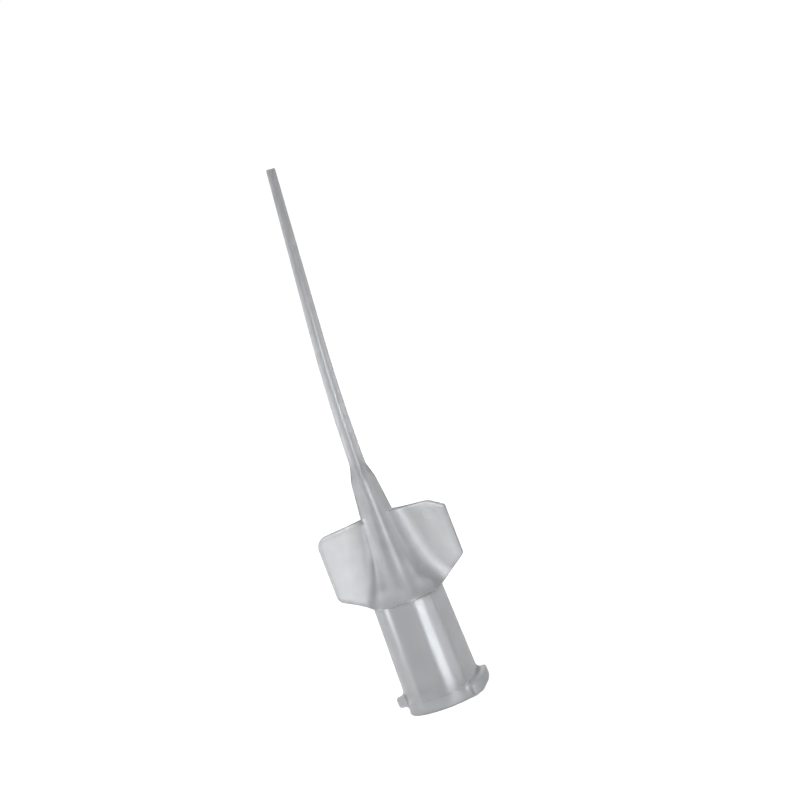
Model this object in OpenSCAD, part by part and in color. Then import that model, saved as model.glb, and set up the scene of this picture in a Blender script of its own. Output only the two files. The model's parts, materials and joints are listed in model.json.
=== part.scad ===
// Irrigation needle for root canals: a one-piece injection moulding with a female Luer-lock hub,
// two finger wings, a flared neck and a slim flexible needle with a slight set in it.
// Z runs up the hub from its open end at z = 0. The wings lie along X.

/* [Luer socket] */
// Diameter of the socket at its mouth
socket_mouth_d = 4.3; // [4.2:0.01:4.4]
// Length of the straight land at the mouth
socket_land = 0.5; // [0.3:0.1:1.2]
// Depth of the socket from the open end to its floor
socket_depth = 9; // [8:0.1:9.2]
// Length of the straight foot of the socket, past its taper
socket_foot = 1; // [0.5:0.1:1.5]
// Taper of the socket on its diameter, in percent
socket_taper = 6; // [5.5:0.1:6.5]
// Drop of the socket's dished floor towards the channel
floor_dish = 0.5; // [0.2:0.1:1]

/* [Barrel] */
// Length of the barrel
barrel_length = 9.25; // [8.75:0.25:11]
// Outer diameter at the open end
barrel_end_d = 6.45; // [6:0.05:7]
// Outer diameter where the flare begins
barrel_top_d = 5.95; // [5.6:0.05:6.2]
// Rounding of the rim's outer edge
rim_round = 0.1; // [0.05:0.05:0.3]

/* [Lock lugs] */
// Diameter across the two lugs
lug_span = 7.8; // [7.6:0.05:8]
// Angle that each lug covers
lug_arc = 58; // [40:2:70]
// Height of a lug where it leaves the barrel
lug_root_height = 1; // [0.8:0.02:1.4]
// Height of a lug at its outer edge
lug_edge_height = 0.95; // [0.5:0.05:1.1]
// Rise of the lugs' right-hand helix in one turn
lug_lead = 5; // [4:0.25:6]
// Gap between the open end and the low end of each lug
lug_gap = 0.02; // [0.02:0.02:0.6]
// Rounding of the lugs' corners
lug_round = 0.26; // [0.1:0.02:0.3]
// Angle from the wings to the middle of the lugs
lug_turn = -15; // [-40:1:40]

/* [Flare and neck] */
// Length of the trumpet-shaped flare above the barrel
flare_length = 4; // [3:0.25:6]
// Diameter where the flare runs into the neck
neck_foot_d = 3.44; // [3:0.02:3.8]
// Length of the conical neck
neck_length = 6.15; // [5:0.05:8]
// Diameter at the top of the neck
neck_top_d = 2.05; // [1.8:0.01:2.6]
// Length of the shoulder between neck and needle
shoulder_length = 1.25; // [1:0.05:2.5]

/* [Wings] */
// Span over both wings
wing_span = 11; // [9:0.5:14]
// Thickness of the wing plates
wing_thickness = 0.85; // [0.6:0.05:1.2]
// Rise from the barrel to the wings' upper corners
wing_upper_rise = 6.8; // [5:0.1:7.5]
// Rise from the barrel to the right wing's lower corner
right_lower_rise = 1.75; // [1:0.05:2.5]
// Rise from the barrel to the left wing's lower corner
left_lower_rise = 1.35; // [1:0.05:2.5]
// Rise of the top edge from its outer end to the middle
wing_top_rise = 0.4; // [0:0.05:0.6]
// Radius of the rounded upper corner on the left wing
corner_radius = 0.85; // [0.5:0.05:1.5]
// Radius of the lower corner on the left wing
lower_radius = 0.4; // [0.1:0.1:1]
// Width of the clipped upper corner on the right wing
clip_width = 1.2; // [0.5:0.1:2]
// Height of the clipped upper corner on the right wing
clip_height = 0.8; // [0.4:0.1:1.5]
// Width of the edge break round each wing
edge_break = 0.14; // [0.05:0.01:0.25]
// Radius of the hollow blend from wing to neck
root_fillet = 2.85; // [1:0.05:3.5]

/* [Needle] */
// Length of the needle along its axis, from the shoulder to the tip
needle_length = 24.9; // [18:0.1:30]
// Outer diameter at the shoulder
needle_base_d = 1.31; // [1.1:0.01:1.5]
// Outer diameter at the tip
needle_tip_d = 0.75; // [0.6:0.01:1]
// Angle that the needle turns away from the hub's axis, towards the right wing
bend_angle = 5.6; // [0.5:0.1:15]
// Length over which it turns
bend_length = 14; // [5:0.5:18]
// Distance below the top of the neck at which it begins to turn
bend_drop = 1.8; // [0:0.1:2.5]
// Rounding of the tip's outer edge
tip_round = 0.08; // [0.02:0.01:0.12]

/* [Fluid channel] */
// Diameter where the channel leaves the socket
channel_d = 1.5; // [1:0.1:2]
// Diameter where the needle begins to turn
lumen_base_d = 0.52; // [0.4:0.01:0.7]
// Diameter at the tip
lumen_tip_d = 0.4; // [0.3:0.01:0.5]

/* [Hidden] */
$fn = 96;

needle_sides = 40;
lumen_sides = 24;
bend_steps = 14;
flare_steps = 16;
round_steps = 4;
lug_steps = 14;
blend_steps = 6;
// Depth by which joined shapes run into each other
lap = 0.4;
// Depth by which a blend dips under the face that it runs into
blend_dip = 0.02;
natural_plastic = [0.80, 0.82, 0.84, 0.8];

flare_top_z = barrel_length + flare_length;
neck_top_z = flare_top_z + neck_length;
shoulder_top_z = neck_top_z + shoulder_length;
neck_slope = (neck_foot_d - neck_top_d) / 2 / neck_length;
shoulder_slope = (neck_top_d - needle_base_d) / 2 / shoulder_length;
wing_upper_z = barrel_length + wing_upper_rise;
wing_crest_z = wing_upper_z + wing_top_rise;
shoulder_s = bend_drop + shoulder_length;
path_length = shoulder_s + needle_length;
lug_r = lug_span / 2;
lug_middle = lug_gap + (lug_root_height + lug_lead * lug_arc / 360) / 2;

function mix(a, b, t) = a + (b - a) * t;
function neck_r(z) = neck_top_d / 2 + (neck_top_z - z) * neck_slope;

// Points on an arc about a centre, from one angle to another
function arc(x, y, r, from, to, steps) =
    [for (i = [0 : steps]) let (a = mix(from, to, i / steps)) [x + r * cos(a), y + r * sin(a)]];

// The flare is one arc, tangent to the neck's cone and ending at the top of the barrel
neck_lean = atan(neck_slope);
flare_chord = norm([barrel_top_d / 2 - neck_foot_d / 2, flare_length]);
flare_half_turn = atan((barrel_top_d - neck_foot_d) / 2 / flare_length) - neck_lean;
flare_r = flare_chord / 2 / sin(flare_half_turn);
function flare_point(t) =
    let (lean = neck_lean + 2 * flare_half_turn * t)
    [neck_foot_d / 2 + flare_r * (cos(neck_lean) - cos(lean)),
     flare_top_z - flare_r * (sin(lean) - sin(neck_lean))];

// Point and lean of the needle's middle line at a distance past the start of its bend
bend_r = bend_length / (bend_angle * PI / 180);
bend_z = neck_top_z - bend_drop;
function bend_lean(s) = bend_angle * min(max(s / bend_length, 0), 1);
function path_point(s) =
    let (lean = bend_lean(s), over = s - min(max(s, 0), bend_length))
    [bend_r * (1 - cos(lean)) + over * sin(lean), 0,
     bend_z + bend_r * sin(lean) + over * cos(lean)];

// Ring of points square to the middle line
function ring(s, r, sides) =
    let (middle = path_point(s), lean = bend_lean(s))
    [for (i = [0 : sides - 1])
        let (a = 360 * i / sides)
        middle + r * [cos(a) * cos(lean), sin(a), -cos(a) * sin(lean)]];

// Closed solid through a row of rings that all have the same number of points
module skin(rings) {
    sides = len(rings[0]);
    last = len(rings) - 1;
    walls = [for (k = [0 : last - 1], i = [0 : sides - 1])
        let (j = (i + 1) % sides, below = k * sides, above = below + sides)
        each [[above + i, below + j, below + i], [above + i, above + j, below + j]]];
    foot = [for (i = [0 : sides - 1]) i];
    cap = [for (i = [sides - 1 : -1 : 0]) last * sides + i];
    polyhedron([for (one = rings) each one], concat([foot], walls, [cap]), convexity = 4);
}

// Distances along the middle line at which the sweeps have a ring
bend_stations = [for (i = [0 : bend_steps]) bend_length * i / bend_steps];

module hub_body() {
    rotate_extrude()
        polygon(concat(
            [[0, 0]],
            arc(barrel_end_d / 2 - rim_round, rim_round, rim_round, -90, 0, round_steps),
            [for (i = [flare_steps : -1 : 0]) flare_point(i / flare_steps)],
            [[neck_top_d / 2, neck_top_z]],
            [[needle_base_d / 2 - lap * shoulder_slope, shoulder_top_z + lap]],
            [[0, shoulder_top_z + lap]]));
}

// Ring of one lug at an angle from its middle, with its outer corners rounded off
function lug_ring(a) =
    let (
        from_end = (lug_arc / 2 - abs(a)) * PI / 180 * lug_r,
        t = min(max(from_end / lug_round, 0), 1),
        outer = lug_r - lug_round * (1 - sqrt(1 - pow(1 - t, 2))),
        inner = barrel_top_d / 2 - lap,
        root = lug_root_height / 2,
        edge = lug_edge_height / 2,
        rise = lug_middle + lug_lead * a / 360)
    [for (p = concat([[inner, -root]],
                     arc(outer - lug_round, lug_round - edge, lug_round, -90, 0, round_steps),
                     arc(outer - lug_round, edge - lug_round, lug_round, 0, 90, round_steps),
                     [[inner, root]]))
        [p[0] * cos(a), p[0] * sin(a), p[1] + rise]];

// Angles of a lug's rings, closer together over its rounded ends
lug_end_arc = lug_round / lug_r * 180 / PI;
lug_inner_arc = lug_arc / 2 - lug_end_arc;
lug_angles = concat(
    [for (i = [0 : round_steps - 1]) -lug_inner_arc - lug_end_arc * cos(90 * i / round_steps)],
    [for (i = [0 : lug_steps]) mix(-lug_inner_arc, lug_inner_arc, i / lug_steps)],
    [for (i = [round_steps - 1 : -1 : 0]) lug_inner_arc + lug_end_arc * cos(90 * i / round_steps)]);

module lock_lug() {
    skin([for (i = [len(lug_angles) - 1 : -1 : 0]) lug_ring(lug_angles[i])]);
}

// Outer edge of each wing, from its lower corner up: rounded on the left, clipped on the right
left_lower_z = barrel_length + left_lower_rise;
lower_turn = 90 - atan(left_lower_rise / (wing_span / 2 - barrel_top_d / 2));
rounded_edge = concat(
    arc(wing_span / 2 - lower_radius, left_lower_z + lower_radius * tan(lower_turn / 2),
        lower_radius, -lower_turn, 0, 2 * round_steps),
    arc(wing_span / 2 - corner_radius, wing_upper_z - corner_radius, corner_radius,
        0, 90, 2 * round_steps));
clipped_edge = [[wing_span / 2, barrel_length + right_lower_rise],
                [wing_span / 2, wing_upper_z - clip_height],
                [wing_span / 2 - clip_width, wing_upper_z]];

module wing_outline(outer_edge) {
    polygon(concat(
        [[0, barrel_length]],
        [[barrel_top_d / 2, barrel_length]],
        outer_edge,
        [[0, wing_crest_z]]));
}

// One wing plate with its edges broken
module wing_plate(outer_edge) {
    rotate([90, 0, 0])
        hull() {
            linear_extrude(wing_thickness - 2 * edge_break, center = true)
                wing_outline(outer_edge);
            linear_extrude(wing_thickness, center = true)
                offset(delta = -edge_break)
                    wing_outline(outer_edge);
        }
}

// Level section through the hollow blends, tangent to the wings' faces and to the hub's outside
function blend_ring(hub_r, z) =
    let (
        r = hub_r - blend_dip,
        middle_y = wing_thickness / 2 - blend_dip + root_fillet,
        middle_x = sqrt(pow(r + root_fillet, 2) - pow(middle_y, 2)),
        lean = asin(middle_y / (r + root_fillet)),
        out = arc(middle_x, middle_y, root_fillet, 270, 180 + lean, blend_steps),
        back = arc(middle_x, middle_y, root_fillet, 180 + lean, 270, blend_steps))
    [for (p = concat(
            out,
            [for (q = back) [-q[0], q[1]]],
            [for (q = out) [-q[0], -q[1]]],
            [for (q = back) [q[0], -q[1]]]))
        [p[0], p[1], z]];

// Heights of the blends' sections, up the flare and past the top of the wings
blend_top_z = max(wing_crest_z, flare_top_z) + lap;
blend_rings = concat(
    [for (i = [flare_steps : -2 : 0])
        let (p = flare_point(i / flare_steps))
        blend_ring(p[0], p[1])],
    [blend_ring(neck_r(blend_top_z), blend_top_z)]);

module wing_blends() {
    intersection() {
        skin(blend_rings);
        rotate([90, 0, 0])
            linear_extrude(barrel_top_d, center = true)
                union() {
                    wing_outline(clipped_edge);
                    mirror([1, 0])
                        wing_outline(rounded_edge);
                }
    }
}

module needle_shaft() {
    tip = path_length - tip_round;
    start_r = needle_base_d / 2;
    function shaft_r(s) = mix(start_r, needle_tip_d / 2, max(s - shoulder_s, 0) / needle_length);
    skin(concat(
        [for (s = bend_stations) ring(s, shaft_r(s), needle_sides)],
        [for (i = [0 : round_steps])
            let (a = 90 * i / round_steps)
            ring(tip + tip_round * sin(a), shaft_r(tip) - tip_round * (1 - cos(a)), needle_sides)]));
}

module socket() {
    foot_z = socket_depth - socket_foot;
    foot_d = socket_mouth_d - (foot_z - socket_land) * socket_taper / 100;
    rotate_extrude()
        polygon([
            [0, -lap],
            [socket_mouth_d / 2, -lap],
            [socket_mouth_d / 2, socket_land],
            [foot_d / 2, foot_z],
            [foot_d / 2, socket_depth],
            [0, socket_depth + floor_dish]]);
}

// Channel from the socket's floor through the neck and the needle
module channel() {
    foot = socket_depth - lap - bend_z;
    tip_r = lumen_tip_d / 2;
    function lumen_r(s) = mix(lumen_base_d / 2, tip_r, s / path_length);
    skin(concat(
        [ring(foot, channel_d / 2, lumen_sides)],
        [for (s = bend_stations) ring(s, lumen_r(s), lumen_sides)],
        [ring(path_length + lap, tip_r, lumen_sides)]));
}

module irrigation_needle() {
    color(natural_plastic)
        difference() {
            union() {
                hub_body();
                for (side = [0, 180])
                    rotate(side + lug_turn)
                        lock_lug();
                wing_plate(clipped_edge);
                mirror([1, 0, 0])
                    wing_plate(rounded_edge);
                wing_blends();
                needle_shaft();
            }
            socket();
            channel();
        }
}

irrigation_needle();
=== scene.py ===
import json
import math
import bpy
import numpy as np
from mathutils import Matrix, Vector


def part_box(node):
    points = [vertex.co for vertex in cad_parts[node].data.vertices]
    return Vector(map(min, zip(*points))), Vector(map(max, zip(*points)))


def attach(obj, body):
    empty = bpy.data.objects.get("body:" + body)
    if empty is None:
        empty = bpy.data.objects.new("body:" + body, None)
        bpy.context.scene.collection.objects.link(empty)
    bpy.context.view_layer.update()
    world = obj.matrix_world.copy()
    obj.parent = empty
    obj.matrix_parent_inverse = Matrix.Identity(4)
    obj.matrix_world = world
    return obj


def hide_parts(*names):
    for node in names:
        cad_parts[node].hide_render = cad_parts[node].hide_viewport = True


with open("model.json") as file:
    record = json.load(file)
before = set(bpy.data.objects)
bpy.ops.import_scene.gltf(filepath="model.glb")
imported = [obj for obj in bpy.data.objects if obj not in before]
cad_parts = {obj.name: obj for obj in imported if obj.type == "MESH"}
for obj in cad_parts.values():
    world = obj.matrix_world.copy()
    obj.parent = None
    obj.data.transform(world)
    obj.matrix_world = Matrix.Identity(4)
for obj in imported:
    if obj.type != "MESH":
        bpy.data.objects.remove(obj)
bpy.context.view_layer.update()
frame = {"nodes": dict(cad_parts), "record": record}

mm = 0.001
mounts = {mount["name"]: mount for mount in frame["record"]["mounts"]}
lowCorner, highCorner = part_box("irrigation_needle")
print("frame loaded:", sorted(frame["nodes"]))


def linearShare(share):           # sRGB share of white, 0 to 1
    return np.where(share <= 0.04045, share / 12.92, ((share + 0.055) / 1.055) ** 2.4)


def linearColor(hexText):
    shares = np.array([int(hexText[i:i + 2], 16) / 255 for i in (1, 3, 5)])
    return tuple(linearShare(shares)) + (1.0,)


def addNode(tree, kind, settings=None, links=None):   # sockets that share a name go by number
    node = tree.nodes.new(kind)
    for name, value in (settings or {}).items():
        if isinstance(name, int) or name in node.inputs:
            node.inputs[name].default_value = value
        else:
            setattr(node, name, value)
    for name, socket in (links or {}).items():
        tree.links.new(socket, node.inputs[name])
    return node


# Camera: the hub's axis is laid on the line that it has in the photograph
cameraPlan = {
    "azimuth": 10.0,              # degrees towards the right wing
    "elevation": 7.0,             # degrees above level
    "roll": 21.0,                 # degrees that the hub leans to the left
    "distance": 400.0,            # mm, a long lens
    "pixelsPerMm": 12.37,
    "imageSide": 800,
    "axisPixel": (407.8, 595.5),  # where the axis passes the top of the barrel
    "axisHeight": 9.24,           # mm above the open end
    "sensor": 36.0,
    "clip": (10.0, 20000.0),      # mm, the nearest and the farthest that is drawn
}


def makeCamera(plan):
    azimuth, elevation, roll = (math.radians(plan[name]) for name in ("azimuth", "elevation", "roll"))
    back = Vector((math.sin(azimuth) * math.cos(elevation),
                   -math.cos(azimuth) * math.cos(elevation),
                   math.sin(elevation)))
    upright = (-back).to_track_quat("-Z", "Y").to_matrix()
    turned = upright @ Matrix.Rotation(-roll, 3, "Z")
    right, up = turned.col[0], turned.col[1]
    middle = plan["imageSide"] / 2
    over, down = ((pixel - middle) / plan["pixelsPerMm"] for pixel in plan["axisPixel"])
    target = Vector((0, 0, plan["axisHeight"])) - right * over + up * down
    lens = bpy.data.cameras.new("camera")
    lens.sensor_width = plan["sensor"]
    lens.lens = plan["sensor"] * plan["distance"] * plan["pixelsPerMm"] / plan["imageSide"]
    lens.clip_start, lens.clip_end = (end * mm for end in plan["clip"])
    camera = bpy.data.objects.new("camera", lens)
    camera.matrix_world = Matrix.Translation((target + back * plan["distance"]) * mm) @ turned.to_4x4()
    bpy.context.scene.collection.objects.link(camera)
    bpy.context.scene.camera = camera


makeCamera(cameraPlan)
print("camera placed")

# The moulding, in mm: one closed shape from the open end to the tip
moulding = {
    "barrelLength": 9.25,
    "barrelEndD": (highCorner.y - lowCorner.y) / mm,
    "barrelTopD": 5.95,
    "rimRound": 0.1,              # outer edge of the open end
    "flareLength": 4.0,
    "neckFootD": 3.44,
    "neckLength": 6.15,
    "neckTopD": 2.05,
    "shoulderLength": 1.25,
    "barrelCrease": 0.12,         # softening of the edge at the top of the barrel
    "shoulderCrease": 0.03,       # and of the edge at the top of the neck
    "needleLength": 24.9,
    "needleBaseD": 1.31,
    "needleTipD": 0.75,
    "needleFoot": 0.05,           # softening where the needle leaves the shoulder
    "bendAngle": 5.6,             # degrees towards the right wing
    "bendLength": 14.0,
    "bendDrop": 1.8,              # the bend starts this far below the top of the neck
    "tipRound": 0.08,
    "socketMouthR": mounts["luer_socket"]["dims"]["r_mm"],
    "socketLand": mounts["luer_socket"]["dims"]["length_mm"],
    "socketFootR": mounts["socket_foot"]["dims"]["r_mm"],
    "socketFoot": mounts["socket_foot"]["dims"]["length_mm"],
    "socketDepth": 9.0,
    "floorDish": 0.5,
    "floorRound": 0.2,
    "channelD": 1.5,
    "channelLap": 0.4,            # the channel starts this far inside the socket
    "lumenBaseD": 0.52,
    "lumenTipD": 0.4,
    "mouthRound": 0.06,           # inner edges at the open end and at the tip
}
wings = {
    "span": (highCorner.x - lowCorner.x) / mm,
    "thickness": 0.85,
    "upperRise": 6.8,             # from the top of the barrel to the upper corners
    "topRise": 0.4,
    "rightLowerRise": 1.75,
    "leftLowerRise": 1.35,
    "clipWidth": 1.2,
    "clipHeight": 0.8,
    "rightCorner": 0.12,          # the right wing is crisp, the left one is soft
    "rightEdge": 0.13,
    "leftUpperCorner": 0.85,
    "leftLowerCorner": 0.4,
    "leftEdge": 0.3,
    "rootFillet": 2.85,           # hollow blend from the wings' faces into the cone
    "crease": 0.04,               # softening where the wings' edges meet the hub
    "pinMark": (4.1, 15.1),       # ejector pin mark: distance from the axis, height
    "pinMarkR": 0.42,
    "pinMarkDepth": 0.03,
    "pinMarkEdge": 0.12,
}
lugs = {
    "span": 7.8,
    "arc": 58.0,                  # degrees
    "rootHeight": 1.0,
    "edgeHeight": 0.95,
    "lead": 5.0,                  # rise in one whole turn
    "middle": 0.92,
    "turn": -15.0,                # degrees from the right wing
    "cornerRound": 0.26,
    "footBlend": 0.3,             # hollow where the lugs leave the barrel
}
gridSteps = {                     # mm: where each axis changes its step, and the step up to there
    "x": [(-5.7, None), (-0.9, 0.11), (3.4, 0.066), (5.7, 0.11)],
    "y": [(-4.1, None), (-0.72, 0.11), (0.72, 0.066), (4.1, 0.11)],
    "z": [(-0.12, None), (1.9, 0.075), (8.0, 0.25), (16.7, 0.1), (21.2, 0.12), (45.0, 0.2), (45.66, 0.05)],
}
skinning = {
    "hubReach": 0.05,             # mm up and down, for the slope of the hub's wall
    "normalReach": 0.004,         # mm each way, for the slope of the whole field
    "leastSlope": 0.05,           # keeps a corner's move finite
    "longestMove": 0.05,          # mm in one round
    "slideShare": 0.5,            # of the way to even spacing in one round
    "firstRounds": 3,
    "slideRounds": 4,
    "lastRounds": 2,
}

flareTopZ = moulding["barrelLength"] + moulding["flareLength"]
neckTopZ = flareTopZ + moulding["neckLength"]
shoulderTopZ = neckTopZ + moulding["shoulderLength"]
wingTopZ = moulding["barrelLength"] + wings["upperRise"]
channelZ = moulding["socketDepth"] - moulding["channelLap"]
bendZ = neckTopZ - moulding["bendDrop"]
bendTurn = math.radians(moulding["bendAngle"])
bendR = moulding["bendLength"] / bendTurn
shoulderS = moulding["bendDrop"] + moulding["shoulderLength"]
pathLength = shoulderS + moulding["needleLength"]


def roundJoin(a, b, radius):      # union of two distances with a hollow fillet
    corner = np.hypot(np.maximum(radius - a, 0), np.maximum(radius - b, 0))
    return np.maximum(radius, np.minimum(a, b)) - corner


def roundCut(a, b, radius):       # intersection of two distances with a rounded edge
    corner = np.hypot(np.maximum(radius + a, 0), np.maximum(radius + b, 0))
    return np.minimum(-radius, np.maximum(a, b)) + corner


def softMin(a, b, width):         # the smaller of two, eased over where they are nearly equal
    overlap = np.maximum(width - np.abs(a - b), 0) / width
    return np.minimum(a, b) - overlap ** 2 * width / 4


def hubRadius(z):
    size = moulding
    barrelDraft = (size["barrelEndD"] - size["barrelTopD"]) / 2 / size["barrelLength"]
    barrel = size["barrelTopD"] / 2 + (size["barrelLength"] - z) * barrelDraft
    neckSlope = (size["neckFootD"] - size["neckTopD"]) / 2 / size["neckLength"]
    neckLean = math.atan(neckSlope)
    neck = size["neckTopD"] / 2 + (neckTopZ - z) * neckSlope
    flareGrowth = (size["barrelTopD"] - size["neckFootD"]) / 2
    halfTurn = math.atan(flareGrowth / size["flareLength"]) - neckLean
    flareR = math.hypot(flareGrowth, size["flareLength"]) / 2 / math.sin(halfTurn)
    leanLimit = 0.9               # sine; the flare is only that steep inside the barrel
    lean = np.arcsin(np.clip(math.sin(neckLean) + (flareTopZ - z) / flareR, -1, leanLimit))
    flare = size["neckFootD"] / 2 + flareR * (math.cos(neckLean) - np.cos(lean))
    shoulderSlope = (size["neckTopD"] - size["needleBaseD"]) / 2 / size["shoulderLength"]
    shoulder = size["needleBaseD"] / 2 + (shoulderTopZ - z) * shoulderSlope
    upper = np.where(z > flareTopZ, neck, flare)
    return softMin(softMin(barrel, upper, size["barrelCrease"]), shoulder, size["shoulderCrease"])


def hubField(rho, z):
    reach = skinning["hubReach"]
    slope = (hubRadius(z + reach) - hubRadius(z - reach)) / (2 * reach)
    return (rho - hubRadius(z)) / np.sqrt(1 + slope ** 2)


def alongNeedle(x, y, z):         # distance along the needle's bent middle line, and distance from it
    turn = np.arctan2(z - bendZ, bendR - x)
    arcOff = bendR - np.hypot(bendR - x, z - bendZ)
    endX, endZ = bendR * (1 - math.cos(bendTurn)), bendZ + bendR * math.sin(bendTurn)
    over = (x - endX) * math.sin(bendTurn) + (z - endZ) * math.cos(bendTurn)
    endOff = (x - endX) * math.cos(bendTurn) - (z - endZ) * math.sin(bendTurn)
    before, after = turn < 0, over > 0
    along = np.where(before, z - bendZ, np.where(after, moulding["bendLength"] + over, turn * bendR))
    off = np.where(before, x, np.where(after, endOff, arcOff))
    return along, np.hypot(off, y)


def wingOutline(x, z, side):      # convex outline of one wing, x counted outwards
    wing = wings
    half = wing["span"] / 2
    barrelR = moulding["barrelTopD"] / 2
    rise, run = wing[side + "LowerRise"], half - barrelR
    lower = ((x - barrelR) * rise - (z - moulding["barrelLength"]) * run) / math.hypot(rise, run)
    topRun = half - (wing["clipWidth"] if side == "right" else wing["leftUpperCorner"])
    top = ((x - topRun) * wing["topRise"] + (z - wingTopZ) * topRun) / math.hypot(wing["topRise"], topRun)
    if side == "left":
        edge = roundCut(lower, x - half, wing["leftLowerCorner"])
        return roundCut(edge, top, wing["leftUpperCorner"])
    clip = (x - half) * wing["clipHeight"] + (z - wingTopZ + wing["clipHeight"]) * wing["clipWidth"]
    clip = clip / math.hypot(wing["clipHeight"], wing["clipWidth"])
    edge = roundCut(lower, x - half, wing["rightCorner"])
    return roundCut(roundCut(edge, clip, wing["rightCorner"]), top, wing["rightCorner"])


def wingsOutline(x, z):
    return np.where(x > 0, wingOutline(x, z, "right"), wingOutline(-x, z, "left"))


def blendBall(z):                 # middle of the ball that rolls along the blend: outwards, sideways
    ballY = wings["thickness"] / 2 + wings["rootFillet"]
    return np.sqrt(np.maximum((hubRadius(z) + wings["rootFillet"]) ** 2 - ballY ** 2, 0)), ballY


def wingField(x, y, z):           # distance from the wings with their blends, and where the blends are
    wing = wings
    fromMark = np.hypot(np.abs(x) - wing["pinMark"][0], z - wing["pinMark"][1])
    mark = np.clip((wing["pinMarkR"] - fromMark) / wing["pinMarkEdge"] + 0.5, 0, 1) * (y < 0)
    half = wing["thickness"] / 2 - mark * wing["pinMarkDepth"]
    ballX, ballY = blendBall(z)
    besideBall = (np.abs(x) < ballX) & (np.abs(y) < ballY) & (np.abs(y) * ballX < np.abs(x) * ballY)
    blend = wing["rootFillet"] - np.hypot(np.abs(x) - ballX, np.abs(y) - ballY)
    plate = np.where(besideBall, blend, np.abs(y) - half)
    edge = np.where(x > 0, wing["rightEdge"], wing["leftEdge"])
    return roundCut(plate, wingsOutline(x, z), edge), besideBall


def lugField(x, y, rho, z):
    lug = lugs
    footR, crownR = moulding["barrelTopD"] / 2, lug["span"] / 2
    share = np.clip((rho - footR) / (crownR - footR), 0, 1)
    height = lug["rootHeight"] + (lug["edgeHeight"] - lug["rootHeight"]) * share
    pair = []
    for start in (0, 180):
        turn = np.degrees(np.arctan2(y, x)) - lug["turn"] - start
        turn = (turn + 180) % 360 - 180
        face = np.abs(z - lug["middle"] - lug["lead"] * turn / 360) - height / 2
        end = np.radians(np.abs(turn) - lug["arc"] / 2) * rho
        block = roundCut(face, rho - crownR, lug["cornerRound"])
        pair.append(roundCut(block, end, lug["cornerRound"]))
    return np.minimum(*pair)


def hollowField(rho, z, along, off):
    size = moulding
    footZ = size["socketDepth"] - size["socketFoot"]
    wall = rho - np.interp(z, [size["socketLand"], footZ], [size["socketMouthR"], size["socketFootR"]])
    floor = z - size["socketDepth"] - size["floorDish"] * (1 - rho / size["socketFootR"])
    socket = roundCut(wall, floor, size["floorRound"])
    channel = off - np.interp(along, [channelZ - bendZ, 0, pathLength],
                              [size["channelD"] / 2, size["lumenBaseD"] / 2, size["lumenTipD"] / 2])
    channel = np.where(z > channelZ, channel, socket)
    return np.minimum(socket, channel)


def mouldingField(x, y, z):       # below 0 in the plastic
    size = moulding
    rho = np.hypot(x, y)
    along, off = alongNeedle(x, y, z)
    hub = hubField(rho, z)
    wing, onBlend = wingField(x, y, z)
    body = np.where(onBlend, np.minimum(hub, wing), softMin(hub, wing, wings["crease"]))
    shaftR = np.interp(along, [shoulderS, pathLength], [size["needleBaseD"] / 2, size["needleTipD"] / 2])
    shaft = roundCut(off - shaftR, along - pathLength, size["tipRound"])
    shaft = roundCut(shaft, bendZ - z, size["tipRound"])
    body = softMin(body, shaft, size["needleFoot"])
    body = roundJoin(body, lugField(x, y, rho, z), lugs["footBlend"])
    body = roundCut(body, -z, size["rimRound"])
    return roundCut(body, -hollowField(rho, z, along, off), size["mouthRound"])


def gridLine(stops):
    line = [stops[0][0]]
    for stop, step in stops[1:]:
        count = math.ceil((stop - line[-1]) / step)
        line += list(np.linspace(line[-1], stop, count + 1)[1:])
    return np.array(line)


cellCorners = list(np.ndindex(2, 2, 2))


def atCorner(values, corner):     # the grid's values at one corner of every cell
    return values[tuple(slice(first, first + count - 1) for first, count in zip(corner, values.shape))]


def crossingPoints(lines, field, crossed):   # per crossed cell, the middle of where its edges are cut
    total, hits = np.zeros((len(crossed), 3)), np.zeros((len(crossed), 1))
    for a in cellCorners:
        for axis in [n for n in range(3) if not a[n]]:
            b = tuple(1 if n == axis else a[n] for n in range(3))
            ends = [crossed + np.array(corner) for corner in (a, b)]
            fieldA, fieldB = (field[tuple(end.T)] for end in ends)
            cut = (fieldA < 0) != (fieldB < 0)
            share = np.where(cut, fieldA / np.where(cut, fieldA - fieldB, 1), 0)[:, None]
            pointA, pointB = (np.stack([lines[n][end[:, n]] for n in range(3)], 1) for end in ends)
            total += np.where(cut[:, None], pointA + share * (pointB - pointA), 0)
            hits += cut[:, None]
    return total / hits


def crossingQuads(inside, number):   # per cut edge of the grid, the four cells that share it
    quads = []
    for axis in range(3):
        u, v = (axis + 1) % 3, (axis + 2) % 3
        layers = np.moveaxis(inside, axis, 0)
        edges = np.argwhere(np.moveaxis(layers[:-1] != layers[1:], 0, axis))
        ring = []
        for du, dv in ((1, 1), (0, 1), (0, 0), (1, 0)):
            cell = edges.copy()
            cell[:, u] -= du
            cell[:, v] -= dv
            ring.append(number[tuple(cell.T)])
        ring = np.stack(ring, 1)
        outward = inside[tuple(edges.T)]
        quads.append(np.where(outward[:, None], ring, ring[:, ::-1]))
    return np.concatenate(quads)


def skinField(lines):             # one corner per grid cell that the surface crosses, joined by quads
    x, y, z = np.meshgrid(*lines, indexing="ij", sparse=True)
    field = np.broadcast_to(mouldingField(x, y, z), [len(line) for line in lines])
    inside = field < 0
    count = sum(atCorner(inside, corner).astype(np.int8) for corner in cellCorners)
    crossed = np.argwhere((count > 0) & (count < len(cellCorners)))
    number = np.full(count.shape, -1, np.int64)
    number[tuple(crossed.T)] = np.arange(len(crossed))
    return crossingPoints(lines, field, crossed), crossingQuads(inside, number)


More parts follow.
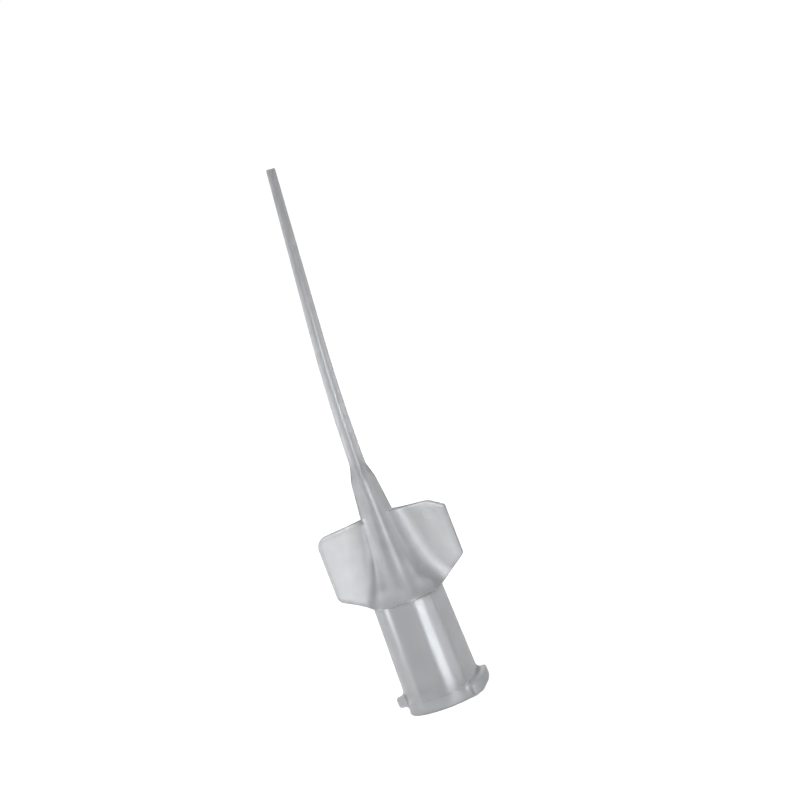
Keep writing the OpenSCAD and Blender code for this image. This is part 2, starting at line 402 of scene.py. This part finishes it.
def fieldSlope(points):
    reach = skinning["normalReach"]
    steps = np.eye(3) * reach
    slope = [mouldingField(*(points + step).T) - mouldingField(*(points - step).T) for step in steps]
    return np.stack(slope, 1) / (2 * reach)


def outwardNormal(points):
    slope = fieldSlope(points)
    return slope / np.maximum(np.linalg.norm(slope, axis=1), skinning["leastSlope"])[:, None]


def settle(points, rounds):       # moves the corners onto the surface
    longest = skinning["longestMove"]
    for _ in range(rounds):
        slope = fieldSlope(points)
        move = mouldingField(*points.T) / np.maximum((slope ** 2).sum(1), skinning["leastSlope"])
        points = points - slope * np.clip(move, -longest, longest)[:, None]
    return points


def evenOut(points, quads, rounds):   # slides the corners along the surface to even spacing
    pairs = np.concatenate([quads[:, [i, (i + 1) % 4]] for i in range(4)])
    here, there = np.concatenate([pairs, pairs[:, ::-1]]).T
    degree = np.bincount(here)[:, None]
    for _ in range(rounds):
        total = np.stack([np.bincount(here, line[there]) for line in points.T], 1)
        slide = total / degree - points
        normal = outwardNormal(points)
        slide -= (slide * normal).sum(1)[:, None] * normal
        points = settle(points + skinning["slideShare"] * slide, 1)
    return points


# How the plastic differs from place to place: the thin wings are paler, with a painted highlight and
# painted shade in bands beside the cone, painted shade round their rim, painted light on the right wing's
# upper edges; painted stripes of light and shade on the cone stand for the channel showing through; the
# lugs are painted paler, lifting their shade; and the thick flare, the rim of the socket and the lugs are
# cloudier than the barrel
shades = {                        # places, and the share of white that the eye sees there
    "hub": ([20, 25, 34, 45], [0.865, 0.90, 0.87, 0.83]),   # mm up: the needle is greyer towards its tip
    # painted stripes of light and shade on the cone, where the channel shows through
    "paintedStreaks": ([-40, 0, 24, 36, 50, 70], [0.9, 1.02, 1.01, 0.9, 0.86, 0.96]),   # degrees to the right
    "streakFade": ([11.5, 13, shoulderTopZ, shoulderTopZ + 1], [0, 1, 1, 0]),    # mm up
    # four lists across the blend, whose line on the cone is 0 and whose line on the wing is 1
    # left: a painted highlight along the cone's edge, then painted shade in the blend, then the pale flat
    "left": ([-0.1, -0.03, 0.08, 0.14, 0.25, 0.6, 1.2], [0.78, 1.0, 1.0, 0.78, 0.74, 0.85, 0.94]),
    # right: painted shade at the cone's edge, a painted light band in the blend and painted shade where it
    # ends
    "right": ([-0.15, 0, 0.25, 0.4, 0.7, 1.0, 1.6], [0.86, 0.75, 0.92, 0.965, 0.83, 0.77, 0.85]),
    "bandStart": ([-0.1, 0], [0, 1]),        # the hub's shade gives way to the bands
    "bandEnd": ([0.5, 0.9], [1, 0]),         # and they to the flat of the wing
    "lowFade": ([10.0, 12.2], [1, 0]),       # mm up: the bands fade out towards the barrel
    "wingFade": (0.6, 0.1),       # mm over which the wings' shade begins and ends
    "rimDepth": 0.42,             # mm
    # painted shade along the rim of the wings' flats
    "paintedRimShade": 0.84,
    # painted light on the right wing's upper edges, in place of the rim's painted shade
    "paintedEdgeLight": 1.1,             # the right wing's upper edges are pale
    # the lugs are painted paler, lifting their shade
    "lug": 0.98,
    "lugStart": ([0.03, 0.15], [0, 1]),      # mm out from the barrel
    "lugTop": 2.5,                # mm up
}
hazePlan = {                      # added roughness
    "rimTop": 1.0,                # mm up
    "rimChange": 0.05,            # mm below and above the rim's top, where the haze changes
    "creaseChange": 0.04,         # and the same at the top of the barrel
    "rim": 0.1,
    "flare": ([11.5, 14.5], [0.14, 0.09]),   # mm up
    "flareFoot": 0.16,
    "lug": 0.22,
}


def acrossBlend(x, z):            # 0 on the blend's line on the cone, 1 on its line on the wing
    ballX = blendBall(z)[0]
    start = ballX * hubRadius(z) / (hubRadius(z) + wings["rootFillet"])
    leastWidth = 0.01             # mm
    return (np.abs(x) - start) / np.maximum(ballX - start, leastWidth)


def onLug(points):
    x, y, z = points.T
    return np.interp(np.hypot(x, y) - hubRadius(z), *shades["lugStart"]) * (z < shades["lugTop"])


def onWing(z, across):            # share of the wing's shade, the rest being the hub's
    startZ, endZ = moulding["barrelLength"], wingTopZ + wings["topRise"]
    fadeIn, fadeOut = shades["wingFade"]
    share = np.interp(z, [startZ, startZ + fadeIn, endZ, endZ + fadeOut], [0, 1, 1, 0])
    low = np.interp(z, *shades["lowFade"]) * np.interp(across, *shades["bandEnd"])
    return share * np.interp(across, *shades["bandStart"]) * (1 - low)


# the wings' painted highlight and shade: bands across the blend, and painted shade or light at the rim
def wingShade(x, z, across):      # bands across the blend, and a rim round the flat of the wing
    bands = np.where(x < 0, np.interp(across, *shades["left"]), np.interp(across, *shades["right"]))
    clipped = (x > 0) & (z > wingTopZ - wings["clipHeight"])
    edge = np.where(clipped, shades["paintedEdgeLight"], shades["paintedRimShade"])
    rim = edge + (1 - edge) * np.clip(-wingsOutline(x, z) / shades["rimDepth"], 0, 1)
    return bands * np.where((across > 1) & (z > moulding["barrelLength"]), rim, 1)


# the hub's shade, with painted stripes of light and shade on the cone and neck
def hubShade(x, y, z):
    paintedStreaks = np.interp(np.degrees(np.arctan2(x, np.abs(y))), *shades["paintedStreaks"])
    return np.interp(z, *shades["hub"]) * (1 + (paintedStreaks - 1) * np.interp(z, *shades["streakFade"]))


# carries the painted highlights, painted shade and painted light set out in shades
def paleness(points):             # share of white light that the surface gives back
    x, y, z = points.T
    across = acrossBlend(x, z)
    shade = hubShade(x, y, z)
    shade += (wingShade(x, z, across) - shade) * onWing(z, across)
    # the lugs painted paler, lifting their shade
    shade += (shades["lug"] - shade) * onLug(points)
    return linearShare(shade)


def haze(points):                 # added roughness
    plan, rimZ, creaseZ = hazePlan, hazePlan["rimTop"], moulding["barrelLength"]
    heights = [rimZ - plan["rimChange"], rimZ + plan["rimChange"],
               creaseZ - plan["creaseChange"], creaseZ + plan["creaseChange"], *plan["flare"][0]]
    levels = [plan["rim"], 0, 0, plan["flareFoot"], *plan["flare"][1]]
    return np.maximum(np.interp(points[:, 2], heights, levels), plan["lug"] * onLug(points))


def makeMoulding():
    points, quads = skinField([gridLine(gridSteps[axis]) for axis in "xyz"])
    points = settle(points, skinning["firstRounds"])
    points = evenOut(points, quads, skinning["slideRounds"])
    points = settle(points, skinning["lastRounds"])
    mesh = bpy.data.meshes.new("moulded_needle")
    mesh.from_pydata(points * mm, [], quads)
    mesh.validate()
    mesh.shade_smooth()
    mesh.normals_split_custom_set_from_vertices(outwardNormal(points))
    for name, values in (("paleness", paleness(points)), ("haze", haze(points))):
        mesh.attributes.new(name, "FLOAT", "POINT").data.foreach_set("value", values)
    piece = bpy.data.objects.new("moulded_needle", mesh)
    bpy.context.scene.collection.objects.link(piece)
    print("moulding skinned:", len(points), "corners,", len(quads), "quads")
    return piece


moulded = makeMoulding()
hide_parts("irrigation_needle")
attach(moulded, "root")

# Natural polypropylene, injection moulded against a satin tool: milky, see-through in thin walls,
# greyer where the walls are seen edge on, with a soft gloss and faint flow marks
polypropylene = {
    "name": "moulded natural polypropylene",
    "milk": "#ffffff",            # tint; how pale it is comes with the mesh
    "milkCloud": "#dadcde",
    "cloudSize": 1.1,             # mm across one cloud
    "cloudDetail": 3.0,
    "see": 0.72,                  # share of the light that goes through
    "ior": 1.49,
    "roughLow": 0.2,
    "roughHigh": 0.25,
    "grainSize": 0.12,            # mm, coarser than the real satin so that it shows
    "grainDetail": 2.0,
    "grainDepth": 0.003,          # mm
    "grainStrength": 0.4,
    "absorb": "#8f9094",          # thick plastic is greyer
    "absorbPerMm": 0.12,
}


def makePolypropylene(plan):
    material = bpy.data.materials.new(plan["name"])
    material.use_nodes = True
    tree = material.node_tree
    tree.nodes.clear()
    place = addNode(tree, "ShaderNodeTexCoord").outputs["Object"]
    cloud = addNode(tree, "ShaderNodeTexNoise",
                    {"Scale": 1 / (plan["cloudSize"] * mm), "Detail": plan["cloudDetail"]},
                    {"Vector": place}).outputs["Fac"]
    tint = addNode(tree, "ShaderNodeMix",
                   {"data_type": "RGBA", 6: linearColor(plan["milk"]), 7: linearColor(plan["milkCloud"])},
                   {"Factor": cloud}).outputs[2]
    # the mesh's paleness, with its painted highlights and painted shade
    pale = addNode(tree, "ShaderNodeAttribute", {"attribute_name": "paleness"}).outputs["Fac"]
    tint = addNode(tree, "ShaderNodeVectorMath", {"operation": "SCALE"},
                   {0: tint, "Scale": pale}).outputs["Vector"]
    hazy = addNode(tree, "ShaderNodeAttribute", {"attribute_name": "haze"}).outputs["Fac"]
    rough = addNode(tree, "ShaderNodeMapRange", {"To Min": plan["roughLow"], "To Max": plan["roughHigh"]},
                    {"Value": cloud}).outputs["Result"]
    rough = addNode(tree, "ShaderNodeMath", {"operation": "ADD"}, {0: hazy, 1: rough}).outputs[0]
    grain = addNode(tree, "ShaderNodeTexNoise",
                    {"Scale": 1 / (plan["grainSize"] * mm), "Detail": plan["grainDetail"]},
                    {"Vector": place}).outputs["Fac"]
    bump = addNode(tree, "ShaderNodeBump",
                   {"Strength": plan["grainStrength"], "Distance": plan["grainDepth"] * mm},
                   {"Height": grain}).outputs["Normal"]
    shader = addNode(tree, "ShaderNodeBsdfPrincipled",
                     {"IOR": plan["ior"], "Transmission Weight": plan["see"]},
                     {"Base Color": tint, "Roughness": rough, "Normal": bump}).outputs["BSDF"]
    depth = addNode(tree, "ShaderNodeVolumeAbsorption",
                    {"Color": linearColor(plan["absorb"]), "Density": plan["absorbPerMm"] / mm})
    addNode(tree, "ShaderNodeOutputMaterial", None, {"Surface": shader, "Volume": depth.outputs["Volume"]})
    return material


moulded.data.materials.append(makePolypropylene(polypropylene))
print("material made")

# Studio: a white table in a white room that is brighter on the left, a soft lamp overhead, one for the
# neck, and small lamps that draw the highlights
studio = {
    "floorRadius": 1800,          # mm
    "floorSides": 96,
    "floorDrop": 0.02,            # mm below the open end
    "floorColor": "#e6e6e6",
    "floorGlow": 0.68,            # what the eye sees on top of the lamps' light
    "floorShine": (0.5, 0.06),    # the same, mirrored in the plastic, on the left and on the right
    "floorThrough": 0.395,        # the same, seen through the plastic
    "roomGlow": 1.0,              # white behind the object
    "roomShine": (0.45, 0.2),
    "roomThrough": 0.83,
    "roomLight": 0.485,           # light from the room on matt surfaces
    "lampTint": "#f4f9ff",        # daylight, a little cool
    "topTint": "#fdfcff",
    "aimTop": 20,                 # mm, the highest that a lamp is aimed at
    "lamps": [                    # name, degrees round from the front, mm away, mm up, width, height, watts
        ("key", 32.5, 15, 4.5, 6.0, 9.0, 0.0017),      # bright streak on the barrel
        ("skirt", 46, 15, 4.7, 16, 9.0, 0.0015),       # paler band beside it
        ("neck", 20, 38, 24, 18, 20, 0.003),           # soft light on the cone and the neck
        ("side", -74, 75, 6.6, 14, 12.5, 0.014),       # stripe on the barrel's left
        ("line", -101, 60, 26, 10, 28, 0.006),         # pale line on the cone's left
        ("needle", 22, 40, 22, 5, 6, 0.0045),          # glint along the needle
        ("rear", 190, 15, 4.5, 4.0, 9.0, 0.0011),      # streak on the barrel's back
        ("top", -20, 250, 440, 300, 300, 1.55),        # soft light over everything
    ],
    "onlyShine": ("key", "skirt", "side", "line", "needle", "rear"),   # lamps that show as highlights alone
}


def makeLamp(plan, name, azimuth, distance, rise, width, height, power):
    lamp = bpy.data.lights.new(name, "AREA")
    lamp.shape = "RECTANGLE"
    lamp.size = width * mm
    lamp.size_y = height * mm
    lamp.energy = power
    lamp.color = linearColor(plan["topTint" if name == "top" else "lampTint"])[:3]
    holder = bpy.data.objects.new(name, lamp)
    turn = math.radians(azimuth)
    place = Vector((math.sin(turn) * distance, -math.cos(turn) * distance, rise)) * mm
    aim = Vector((0, 0, min(rise, plan["aimTop"]) * mm)) - place
    holder.matrix_world = Matrix.Translation(place) @ aim.to_track_quat("-Z", "Y").to_matrix().to_4x4()
    holder.visible_camera = False
    holder.visible_transmission = False
    holder.visible_diffuse = name not in plan["onlyShine"]
    bpy.context.scene.collection.objects.link(holder)


def seenLevel(tree, place, glow, shine, through, light):   # direct, mirrored, through plastic, the rest
    path = addNode(tree, "ShaderNodeLightPath").outputs
    toward = addNode(tree, "ShaderNodeVectorMath", {"operation": "NORMALIZE"}, {0: place})
    sideways = addNode(tree, "ShaderNodeSeparateXYZ", None, {"Vector": toward.outputs["Vector"]})
    level = addNode(tree, "ShaderNodeMapRange", {"From Min": -1.0, "To Min": shine[0], "To Max": shine[1]},
                    {"Value": sideways.outputs["X"]}).outputs["Result"]
    level = addNode(tree, "ShaderNodeMix", {2: light},
                    {"Factor": path["Is Glossy Ray"], 3: level}).outputs[0]
    for ray, value in (("Is Transmission Ray", through), ("Is Camera Ray", glow)):
        level = addNode(tree, "ShaderNodeMix", {3: value}, {"Factor": path[ray], 2: level}).outputs[0]
    return level


def makeFloor(plan):
    mesh = bpy.data.meshes.new("floor")
    radius, sides = plan["floorRadius"] * mm, plan["floorSides"]
    turns = [2 * math.pi * i / sides for i in range(sides)]
    ring = [(math.cos(turn) * radius, math.sin(turn) * radius, -plan["floorDrop"] * mm) for turn in turns]
    mesh.from_pydata(ring, [], [list(range(sides))])
    floor = bpy.data.objects.new("floor", mesh)
    bpy.context.scene.collection.objects.link(floor)
    material = bpy.data.materials.new("matt white card")
    material.use_nodes = True
    tree = material.node_tree
    tree.nodes.clear()
    card = addNode(tree, "ShaderNodeBsdfDiffuse", {"Color": linearColor(plan["floorColor"])})
    place = addNode(tree, "ShaderNodeNewGeometry").outputs["Position"]
    level = seenLevel(tree, place, plan["floorGlow"], plan["floorShine"], plan["floorThrough"], 0.0)
    glow = addNode(tree, "ShaderNodeEmission", None, {"Strength": level})
    both = addNode(tree, "ShaderNodeAddShader", None, {0: card.outputs[0], 1: glow.outputs[0]})
    addNode(tree, "ShaderNodeOutputMaterial", None, {"Surface": both.outputs[0]})
    mesh.materials.append(material)


def makeRoom(plan):
    world = bpy.data.worlds.new("studio")
    world.use_nodes = True
    tree = world.node_tree
    tree.nodes.clear()
    place = addNode(tree, "ShaderNodeTexCoord").outputs["Generated"]
    level = seenLevel(tree, place, plan["roomGlow"], plan["roomShine"],
                      plan["roomThrough"], plan["roomLight"])
    white = addNode(tree, "ShaderNodeBackground", {"Color": linearColor("#ffffff")}, {"Strength": level})
    addNode(tree, "ShaderNodeOutputWorld", None, {"Surface": white.outputs[0]})
    bpy.context.scene.world = world


makeFloor(studio)
makeRoom(studio)
for lampPlan in studio["lamps"]:
    makeLamp(studio, *lampPlan)
bpy.context.scene.view_settings.view_transform = "Standard"
print("studio lit")
